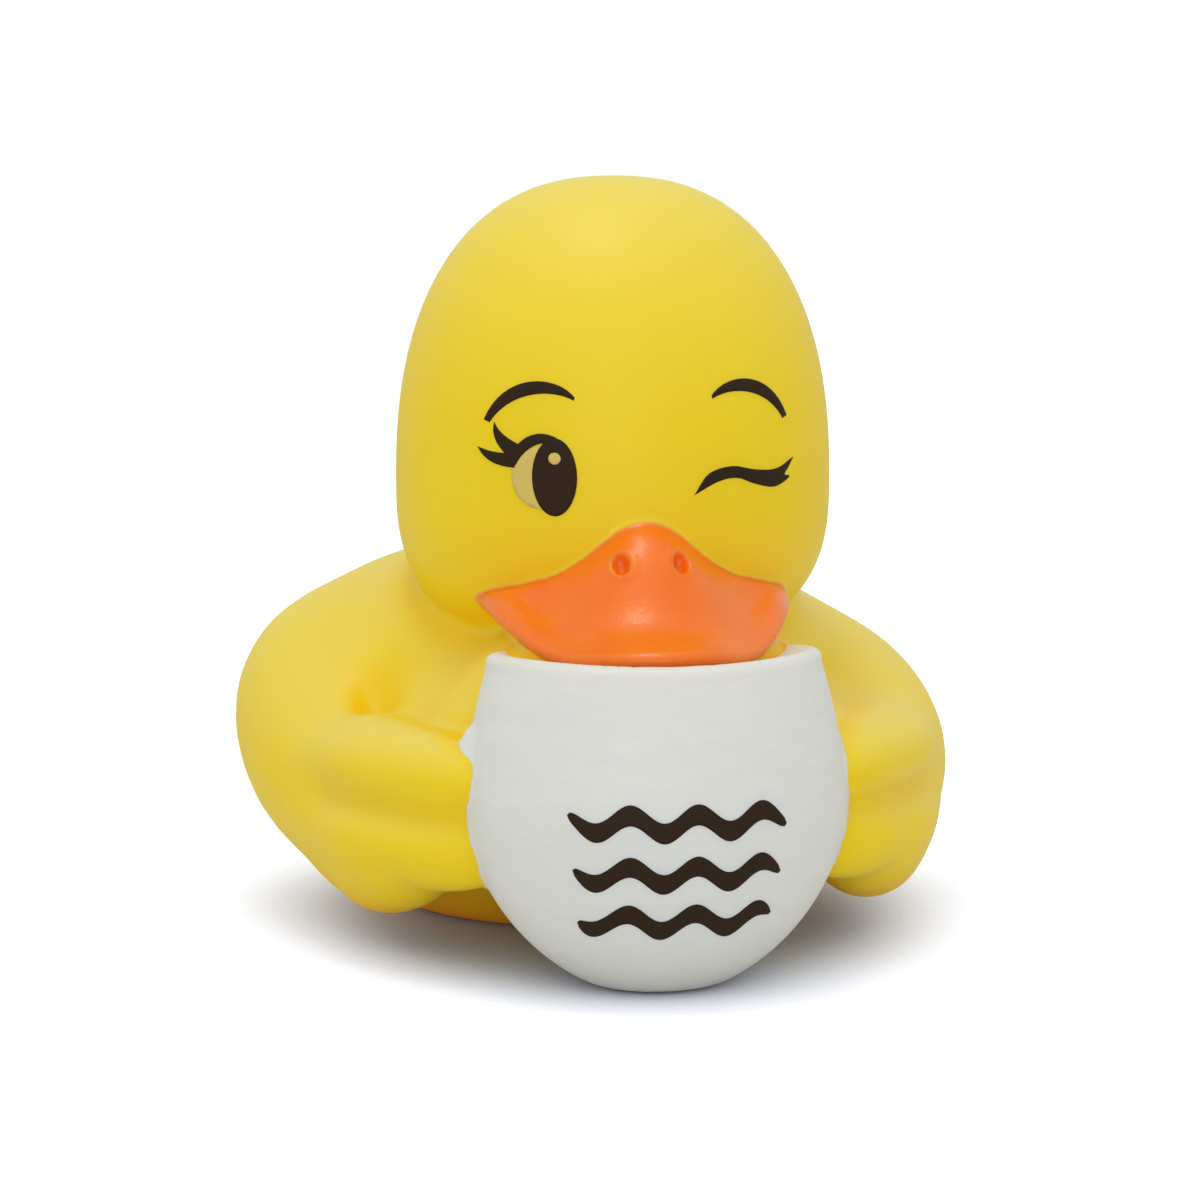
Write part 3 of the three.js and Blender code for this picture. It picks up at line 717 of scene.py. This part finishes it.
    # Satin yellow, glossier orange, chalkier white
    satin = add_node(
        tree, "ShaderNodeMapRange", {"To Min": 0.42, "To Max": 0.5}, {"Value": clouds}
    ).outputs[0]
    glossy = add_node(
        tree, "ShaderNodeMapRange", {"To Min": 0.3, "To Max": 0.4}, {"Value": spray}
    ).outputs[0]
    chalky = add_node(
        tree, "ShaderNodeMapRange", {"To Min": 0.44, "To Max": 0.56}, {"Value": wipes}
    ).outputs[0]
    rough = add_node(tree, "ShaderNodeMix", {"data_type": "FLOAT"}, {0: orange_cover, 2: satin, 3: glossy})
    rough = add_node(
        tree, "ShaderNodeMix", {"data_type": "FLOAT"}, {0: white_cover, 2: rough.outputs[0], 3: chalky}
    ).outputs[0]
    shader = add_node(
        tree,
        "ShaderNodeBsdfPrincipled",
        {
            "Subsurface Weight": 0.3,
            "Subsurface Radius": (1.0, 0.55, 0.12),
            "Subsurface Scale": 4 * MM,
            "IOR": 1.53,
            "Specular IOR Level": 0.3,
            "Coat Roughness": 0.16,
            "Coat IOR": 1.5,
        },
        {"Base Color": colour, "Roughness": rough, "Normal": bump, "Coat Weight": gloss, "Coat Normal": bump},
    )
    add_node(tree, "ShaderNodeOutputMaterial", links={"Surface": shader.outputs[0]})
    return material


def pad_print_ink(name, colour):
    """Pad-printed ink film: matt and even, with a faint grain where the pad let go."""
    material, tree = new_material(name)
    place = add_node(tree, "ShaderNodeTexCoord").outputs["Object"]
    # Pad grain, drawn coarser than the real one so that it shows
    grain = add_node(
        tree, "ShaderNodeTexNoise", {"Scale": 1 / (INK_GRAIN_SIZE * MM), "Detail": 3.0}, {"Vector": place}
    ).outputs["Fac"]
    paler = [min(c * INK_PALER + 0.002, 1) for c in colour[:3]] + [1.0]
    shade = add_node(
        tree, "ShaderNodeMix", {"data_type": "RGBA", 6: colour, 7: paler}, {0: grain}
    ).outputs[2]
    bump = add_node(
        tree, "ShaderNodeBump", {"Strength": 0.2, "Distance": INK_GRAIN_HEIGHT * MM}, {"Height": grain}
    ).outputs[0]
    shader = add_node(
        tree,
        "ShaderNodeBsdfPrincipled",
        {"Roughness": 0.5, "IOR": 1.5, "Specular IOR Level": 0.1},
        {"Base Color": shade, "Normal": bump},
    )
    add_node(tree, "ShaderNodeOutputMaterial", links={"Surface": shader.outputs[0]})
    return material


# Print: outlines as places across and up, seen from the front


def bezier(a, b, c, d, count=22):
    """Points on a cubic curve from a to d, drawn towards b and c."""
    t = np.linspace(0, 1, count)[:, None]
    a, b, c, d = (np.array(v, float) for v in (a, b, c, d))
    return (1 - t) ** 3 * a + 3 * (1 - t) ** 2 * t * b + 3 * (1 - t) * t**2 * c + t**3 * d


# Outline points closer together than this, in mm, count as one
DOUBLED = 0.02


def closed(*runs):
    """One outline from runs that follow each other, without doubled points."""
    points = np.vstack(runs)
    keep = [0]
    for k in range(1, len(points)):
        if np.linalg.norm(points[k] - points[keep[-1]]) > DOUBLED:
            keep.append(k)
    if np.linalg.norm(points[keep[-1]] - points[0]) < DOUBLED:
        keep.pop()
    return points[keep]


def oval(middle, half, count=56):
    """Outline of an ellipse from its middle and half widths."""
    angle = np.linspace(0, 2 * math.pi, count, endpoint=False)
    return np.stack([middle[0] + half[0] * np.cos(angle), middle[1] + half[1] * np.sin(angle)], -1)


def brow(side):
    """Arched brow that tapers outward, over the left eye for side 1 and the right for -1."""
    over = bezier((7.9, 65.75), (9.9, 68.4), (15.5, 68.5), (17.7, 62.9))
    under = bezier((17.1, 62.6), (15.1, 66.1), (10.8, 66.9), (8, 65.4))
    return closed(over, under) * np.array([side, 1])


EYE_WHITE = dict(middle=(-11.7, 56.55), half=(3.15, 3.6))
PUPIL = dict(middle=(-10.2, 56.65), half=(2.45, 4.45))
EYE_LIGHT = dict(middle=(-10.2, 58.8), half=(0.67, 0.67))


def upper_lash():
    """Upper lash of the open eye, a short hooked point."""
    return closed(
        bezier((-13.6, 60.1), (-15.3, 60.8), (-16.2, 61.6), (-16.6, 62.7)),
        bezier((-16.6, 62.7), (-17, 61.2), (-16.4, 59.8), (-14.7, 58.4)),
    )


def lower_lash():
    """Lower lash of the open eye, a flatter point."""
    return closed(
        bezier((-14.4, 59.3), (-16.2, 59.1), (-17.3, 59.3), (-18.4, 59.8)),
        bezier((-18.4, 59.8), (-17.7, 58.2), (-16.4, 57.6), (-14.5, 57.6)),
    )


def lid():
    """Line of the open eye's upper lid."""
    return closed(
        bezier((-15.1, 58.2), (-14.1, 62.5), (-9.6, 62.8), (-8, 58.6)),
        bezier((-8, 58.6), (-9.6, 61.3), (-12.8, 61.3), (-14.4, 57.9)),
    )


def wink():
    """Closed eye: a lid line whose lower edge has lashes at its outer end."""
    return closed(
        catmull_rom([(5.7, 54.5), (7.5, 56.9), (10.4, 57.6), (13.5, 57), (16.2, 56.9), (18.6, 58)], 40),
        catmull_rom(
            [
                (18.6, 58), (17.9, 56.9), (17.35, 56.1), (18.05, 55.8), (17, 55.1), (15.5, 54.8),
                (13.2, 55.4), (11, 56.2), (8.6, 55.9), (5.7, 54.5),
            ],
            60,
        ),
    )


def ripple(height, half_length, thick=2.3, swing=1.0, wave=7.4):
    """Wavy stroke across the mug with rounded ends."""
    x = np.linspace(half_length, -half_length, 90)
    line = height + swing * np.sin(2 * math.pi * x / wave)
    end = np.sqrt(np.maximum(1 - (x / half_length) ** 8, 0)) * thick / 2
    top = np.stack([x, line + end], -1)
    low = np.stack([x, line - end], -1)[::-1]
    return closed(top, low)


# Where the print starts its way back to the skin, in front of the whole duck, and how deep it sinks in
PRINT_START_Y = -62.0
FILM_DEPTH = 0.12
# The run back to the skin: how many steps, the share of the field that each takes, and the longest in mm
RUN_STEPS = 60
RUN_SHARE = 0.8
RUN_LIMIT = 2


def print_film(name, outline, lift, spacing=0.45):
    """Thin closed film of print on the skin, from its outline, projected from the front."""
    low, high = outline.min(0), outline.max(0)
    xs = np.arange(low[0] + spacing / 2, high[0], spacing)
    zs = np.arange(low[1] + spacing / 2, high[1], spacing)
    inner = np.stack(np.meshgrid(xs, zs), -1).reshape(-1, 2)
    gap = np.linalg.norm(inner[:, None] - outline[None], axis=2).min(1)
    inner = inner[gap > spacing * 0.35]
    count = len(outline)
    points = [Vector(v) for v in np.vstack([outline, inner])]
    flat, _, faces, _, _, _ = delaunay_2d_cdt(points, [], [list(range(count))], 1, 1e-6)
    flat = np.array([list(v) for v in flat])
    edges = {}
    for face in faces:
        for a, b in zip(face, face[1:] + face[:1]):
            edges[(a, b)] = edges.get((a, b), 0) + 1
    rim = [pair for pair in edges if (pair[1], pair[0]) not in edges]

    # Each point runs back from the front until it meets the skin
    place = np.stack([flat[:, 0] - FORMS_SHIFT[0], np.full(len(flat), PRINT_START_Y), flat[:, 1]], -1)
    for _ in range(RUN_STEPS):
        step = np.clip(in_parts(duck, place), -RUN_LIMIT, RUN_LIMIT)
        place[:, 1] += RUN_SHARE * step
    out = slope_of(duck, place)
    out /= np.linalg.norm(out, axis=1)[:, None]
    top = place + out * lift
    base = place - out * FILM_DEPTH
    total = len(flat)
    turned = []
    for face in faces:
        turned.append(list(face))
        turned.append([k + total for k in face][::-1])
    for a, b in rim:
        turned.append([b, a, a + total, b + total])
    piece = new_object(name, np.vstack([top, base]), turned)
    if piece.data.polygons[0].normal.dot(Vector(out[faces[0][0]])) < 0:
        piece.data.flip_normals()
    return piece


def dress(piece, material):
    """Gives a piece its material and the body it rides on."""
    piece.data.materials.append(material)
    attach(piece, "root")
    return piece


# Properties, operators and panel


def colour_value(name, description, hex_colour):
    """A colour of a look, given as an sRGB hex value."""
    return FloatVectorProperty(
        name=name, description=description,
        subtype="COLOR", size=4, default=linear(hex_colour), min=0, max=1,
    )


class DuckLook(bpy.types.PropertyGroup):
    fine: FloatProperty(
        name="Fine step",
        description="Spacing of the skin's grid over the face, bill and rim, in millimetres",
        default=0.5,
        min=0.2,
    )
    coarse: FloatProperty(
        name="Coarse step",
        description="Spacing of the skin's grid elsewhere, in millimetres",
        default=0.85,
        min=0.3,
    )
    grain_height: FloatProperty(
        name="Grain height", description="Height of the vinyl's grain in millimetres", default=0.008, min=0
    )
    peel_height: FloatProperty(
        name="Peel height", description="Height of the bill's orange peel in millimetres", default=0.05, min=0
    )
    vinyl_deep: colour_value("Vinyl, deep", "Deeper shade of the yellow vinyl", "#EECE00")
    vinyl_pale: colour_value("Vinyl, pale", "Paler shade of the yellow vinyl", "#F2D50A")
    # Paler yellow painted on what faces up, as a painted top sheen
    vinyl_painted_top_sheen: colour_value("Vinyl, bloom", "Paler yellow of the surfaces that face up", "#ECD752")
    # Amber painted as shade and bounce light in the hollows and near the floor
    vinyl_painted_shade: colour_value("Vinyl, hollows", "Amber of the yellow vinyl deep in its hollows", "#FFB200")
    orange_deep: colour_value("Orange, deep", "Deeper shade of the sprayed bill", "#F26E00")
    orange_pale: colour_value("Orange, pale", "Paler shade of the sprayed bill", "#F87E02")
    orange_thin: colour_value(
        "Orange, thin", "Pinkish tone where the spray on the bill thins out", "#EE8A54"
    )
    white: colour_value("White", "Sprayed white of the mug", "#E3E4DF")
    white_worn: colour_value("White, worn", "Duller white where the mug is handled", "#DADBD4")
    ink: colour_value("Ink", "Dark brown of the pad print", "#2E2012")
    cream: colour_value("Eye cream", "Cream of the open eye", "#CEB862")


class StudioLook(bpy.types.PropertyGroup):
    azimuth: FloatProperty(
        name="Azimuth", description="How far round to the duck's right the camera stands",
        subtype="ANGLE", default=math.radians(8.5),
    )
    elevation: FloatProperty(
        name="Elevation", description="How far the camera looks down",
        subtype="ANGLE", default=math.radians(8.5),
    )
    distance: FloatProperty(
        name="Distance", description="From the camera to the point it looks at",
        unit="LENGTH", default=0.450,
    )
    frame_width: IntProperty(name="Frame width", description="Width of the picture in pixels", default=1200)
    focal_pixels: FloatProperty(
        name="Focal length", description="Focal length as pixels of the frame's width", default=3726,
    )
    key_power: FloatProperty(name="Key power", description="Power of the top softbox in watts", default=0.32)
    fill_power: FloatProperty(
        name="Fill power", description="Power of the front softbox in watts", default=0.75
    )
    spark_power: FloatProperty(
        name="Spark power", description="Power in watts of the small lamp that gives the bill its highlights",
        default=0.32,
    )
    sky: FloatProperty(name="Sky", description="Strength of the even light all round", default=0.74)
    floor_colour: colour_value("Floor", "Colour of the paper floor", "#E8E8E8")
    floor_shade: colour_value(
        "Floor shade", "Colour of the paper floor as the camera sees it, under its glow", "#A0A5B4"
    )
    floor_glow: FloatProperty(
        name="Floor glow", description="White that the floor adds near the duck, for the camera", default=0.78
    )
    shadow_reach: FloatProperty(
        name="Shadow reach", description="How far from the duck's middle the floor keeps its shadow",
        unit="LENGTH", default=0.075,
    )


# The skin's grid along x, y and z in mm: where it starts and ends, and between which places it is fine
GRID_LIMITS = (
    (-47.0, 47.0, -20.0, 22.0),
    (-54.0, 54.0, -54.0, -16.0),
    (-2.6, 93.0, 32.0, 68.0),
)
# The skin is flat on the floor below this height, in mm
FLAT_BELOW = 0.02
# The white is ragged only down at the hands: above this height, in mm, its border turns clean
CLEAN_ABOVE = 29
CLEAN_FADE = 2
CLEAN_MARGIN = 0.5


class OBJECT_OT_duck_skin(bpy.types.Operator):
    """Builds the moulding's skin with the marks of where its paint ends"""

    bl_idname = "object.duck_skin"
    bl_label = "Vinyl moulding"

    def execute(self, context):
        look = context.scene.duck_look
        grow = 1.0
        fine, coarse = look.fine * grow, look.coarse * grow
        axes = [graded(*limits, fine, coarse) for limits in GRID_LIMITS]
        verts, faces = skin_points(duck, axes)
        verts = settle(duck, verts)
        verts[:, 2] = np.where(verts[:, 2] < FLAT_BELOW, 0, verts[:, 2])
        piece = new_object("vinyl_moulding", verts, faces.tolist())
        vinyl, pot, beak = duck_fields(verts)
        keep_value(piece, "bill_edge", np.minimum(vinyl, pot) - beak)
        clean = CLEAN_MARGIN * np.clip((verts[:, 2] - CLEAN_ABOVE) / CLEAN_FADE, 0, 1)
        keep_value(piece, "mug_edge", np.minimum(vinyl, beak) - pot - clean)
        # How closed in each point is, which places the painted amber shade
        keep_value(piece, "hollow", painted_shade_mask_at(verts))
        dress(piece, soft_vinyl_with_sprayed_enamel(look))
        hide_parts("duck_moulding")
        return {"FINISHED"}


# How far each layer of print stands out from the skin, in mm
PRINT_LIFT = 0.03
UPPER_LASH_LIFT = 0.045
LOWER_LASH_LIFT = 0.05
LID_LIFT = 0.055
PUPIL_LIFT = 0.065
EYE_LIGHT_LIFT = 0.09
# Height and half length of each ripple on the mug
RIPPLES = ((21.6, 12.2), (15.8, 11.6), (10.2, 10.8))


class OBJECT_OT_duck_print(bpy.types.Operator):
    """Prints the face on the head and the ripples on the mug"""

    bl_idname = "object.duck_print"
    bl_label = "Pad print"

    def execute(self, context):
        look = context.scene.duck_look
        ink = pad_print_ink("pad_print_ink", list(look.ink))
        cream = pad_print_ink("pad_print_cream", list(look.cream))
        films = [
            ("brow_print_right", brow(-1), PRINT_LIFT, ink),
            ("brow_print_left", brow(1), PRINT_LIFT, ink),
            ("closed_eye_print", wink(), PRINT_LIFT, ink),
            ("eye_white_print", oval(**EYE_WHITE), PRINT_LIFT, cream),
            ("upper_lash_print", upper_lash(), UPPER_LASH_LIFT, ink),
            ("lower_lash_print", lower_lash(), LOWER_LASH_LIFT, ink),
            ("lid_print", lid(), LID_LIFT, ink),
            ("pupil_print", oval(**PUPIL), PUPIL_LIFT, ink),
            ("eye_light_print", oval(**EYE_LIGHT), EYE_LIGHT_LIFT, cream),
        ]
        for k, (height, half_length) in enumerate(RIPPLES):
            films.append((f"ripple_print_{k + 1}", ripple(height, half_length), PRINT_LIFT, ink))
        for name, outline, lift, material in films:
            dress(print_film(name, outline, lift), material)
        return {"FINISHED"}


# The point that the softboxes face, in metres
SOFTBOX_AIM = (0, 0, 0.045)
# The point that the camera looks at, in mm from the zero of the forms
CAMERA_AIM = (-1.7, 0, 39.1)
# Half width of the floor and width of the camera's sensor, in mm
FLOOR_HALF_WIDTH = 1500
SENSOR_WIDTH = 36


class OBJECT_OT_duck_studio(bpy.types.Operator):
    """Sets up the pale floor, the soft light and the camera"""

    bl_idname = "object.duck_studio"
    bl_label = "Studio"

    def execute(self, context):
        look = context.scene.studio_look
        scene = context.scene
        scene.view_settings.view_transform = "Standard"

        # Paper floor that keeps the duck's shadow near it and runs out to plain white
        material, tree = new_material("white_paper_floor")
        seen = add_node(tree, "ShaderNodeLightPath").outputs["Is Camera Ray"]
        place = add_node(tree, "ShaderNodeTexCoord").outputs["Object"]
        away = add_node(tree, "ShaderNodeVectorMath", {"operation": "LENGTH"}, {0: place}).outputs["Value"]
        glow = add_node(
            tree,
            "ShaderNodeMapRange",
            {
                "interpolation_type": "SMOOTHSTEP",
                "From Min": look.shadow_reach,
                "From Max": 2 * look.shadow_reach,
                "To Min": look.floor_glow,
                "To Max": 1.0,
            },
            {"Value": away},
        ).outputs[0]
        # Close under the duck the paper's own white fades too, so that its shadow stays grey and dark
        open_sky = add_node(
            tree, "ShaderNodeAmbientOcclusion", {"samples": 8, "Distance": look.shadow_reach / 2}
        ).outputs["AO"]
        open_sky = add_node(
            tree, "ShaderNodeMapRange", {"From Min": 0.08, "From Max": 0.64}, {"Value": open_sky}
        ).outputs[0]
        glow = add_node(tree, "ShaderNodeMath", {"operation": "MULTIPLY"}, {0: glow, 1: open_sky}).outputs[0]
        glow = add_node(tree, "ShaderNodeMath", {"operation": "MULTIPLY"}, {0: glow, 1: seen}).outputs[0]
        light = add_node(tree, "ShaderNodeEmission", links={"Strength": glow})
        shade = add_node(
            tree,
            "ShaderNodeMix",
            {"data_type": "RGBA", 6: list(look.floor_colour), 7: list(look.floor_shade)},
            {0: seen},
        ).outputs[2]
        paper = add_node(tree, "ShaderNodeBsdfDiffuse", links={"Color": shade})
        both = add_node(tree, "ShaderNodeAddShader", links={0: light.outputs[0], 1: paper.outputs[0]})
        add_node(tree, "ShaderNodeOutputMaterial", links={"Surface": both.outputs[0]})
        edge = FLOOR_HALF_WIDTH
        corners = [(-edge, -edge, 0), (edge, -edge, 0), (edge, edge, 0), (-edge, edge, 0)]
        floor = new_object("floor", corners, [(0, 1, 2, 3)], smooth=False)
        floor.data.materials.append(material)

        world = bpy.data.worlds.new("studio_sky")
        world.use_nodes = True
        sky = world.node_tree
        sky.nodes.clear()
        seen = add_node(sky, "ShaderNodeLightPath").outputs["Is Camera Ray"]
        level = add_node(
            sky, "ShaderNodeMapRange", {"To Min": look.sky, "To Max": 1.0}, {"Value": seen}
        )
        dome = add_node(
            sky, "ShaderNodeBackground", {"Color": (1, 1, 1, 1)}, {"Strength": level.outputs[0]}
        )
        add_node(sky, "ShaderNodeOutputWorld", links={"Surface": dome.outputs[0]})
        scene.world = world

        # Softboxes: name, place, width and depth in metres, and power in watts
        softboxes = (
            ("top_softbox", (-0.04, -0.14, 0.62), 0.5, 0.4, look.key_power),
            ("front_softbox", (-0.12, -0.75, 0.16), 0.5, 0.25, look.fill_power),
            ("spark_softbox", (-0.05, -0.06, 0.5), 0.12, 0.12, look.spark_power),
        )
        for name, place, width, depth, power in softboxes:
            lamp = bpy.data.lights.new(name, "AREA")
            lamp.shape = "RECTANGLE"
            lamp.size = width
            lamp.size_y = depth
            lamp.energy = power
            holder = bpy.data.objects.new(name, lamp)
            scene.collection.objects.link(holder)
            holder.location = place
            towards = Vector(SOFTBOX_AIM) - Vector(place)
            holder.rotation_euler = towards.to_track_quat("-Z", "Y").to_euler()

        aim = Vector(np.array(CAMERA_AIM) - FORMS_SHIFT) * MM
        c, s = math.cos(look.elevation), math.sin(look.elevation)
        back = Vector((-math.sin(look.azimuth) * c, -math.cos(look.azimuth) * c, s))
        lens = bpy.data.cameras.new("camera")
        lens.sensor_width = SENSOR_WIDTH
        lens.lens = look.focal_pixels / look.frame_width * lens.sensor_width
        lens.clip_start = 0.01
        camera = bpy.data.objects.new("camera", lens)
        scene.collection.objects.link(camera)
        camera.location = aim + back * look.distance
        camera.rotation_euler = back.to_track_quat("Z", "Y").to_euler()
        scene.camera = camera
        return {"FINISHED"}


class VIEW3D_PT_duck(bpy.types.Panel):
    bl_label = "Bath duck"
    bl_space_type = "VIEW_3D"
    bl_region_type = "UI"
    bl_category = "Duck"

    def draw(self, context):
        layout = self.layout
        for group in (context.scene.duck_look, context.scene.studio_look):
            column = layout.column(align=True)
            for key in group.__annotations__:
                column.prop(group, key)
        layout.operator("object.duck_skin")
        layout.operator("object.duck_print")
        layout.operator("object.duck_studio")


CLASSES = (
    DuckLook,
    StudioLook,
    OBJECT_OT_duck_skin,
    OBJECT_OT_duck_print,
    OBJECT_OT_duck_studio,
    VIEW3D_PT_duck,
)


def register():
    for kind in CLASSES:
        bpy.utils.register_class(kind)
    bpy.types.Scene.duck_look = PointerProperty(type=DuckLook)
    bpy.types.Scene.studio_look = PointerProperty(type=StudioLook)


def unregister():
    del bpy.types.Scene.studio_look
    del bpy.types.Scene.duck_look
    for kind in reversed(CLASSES):
        bpy.utils.unregister_class(kind)


def main():
    register()
    bpy.ops.object.duck_skin()
    bpy.ops.object.duck_print()
    bpy.ops.object.duck_studio()


if __name__ == "__main__":
    main()
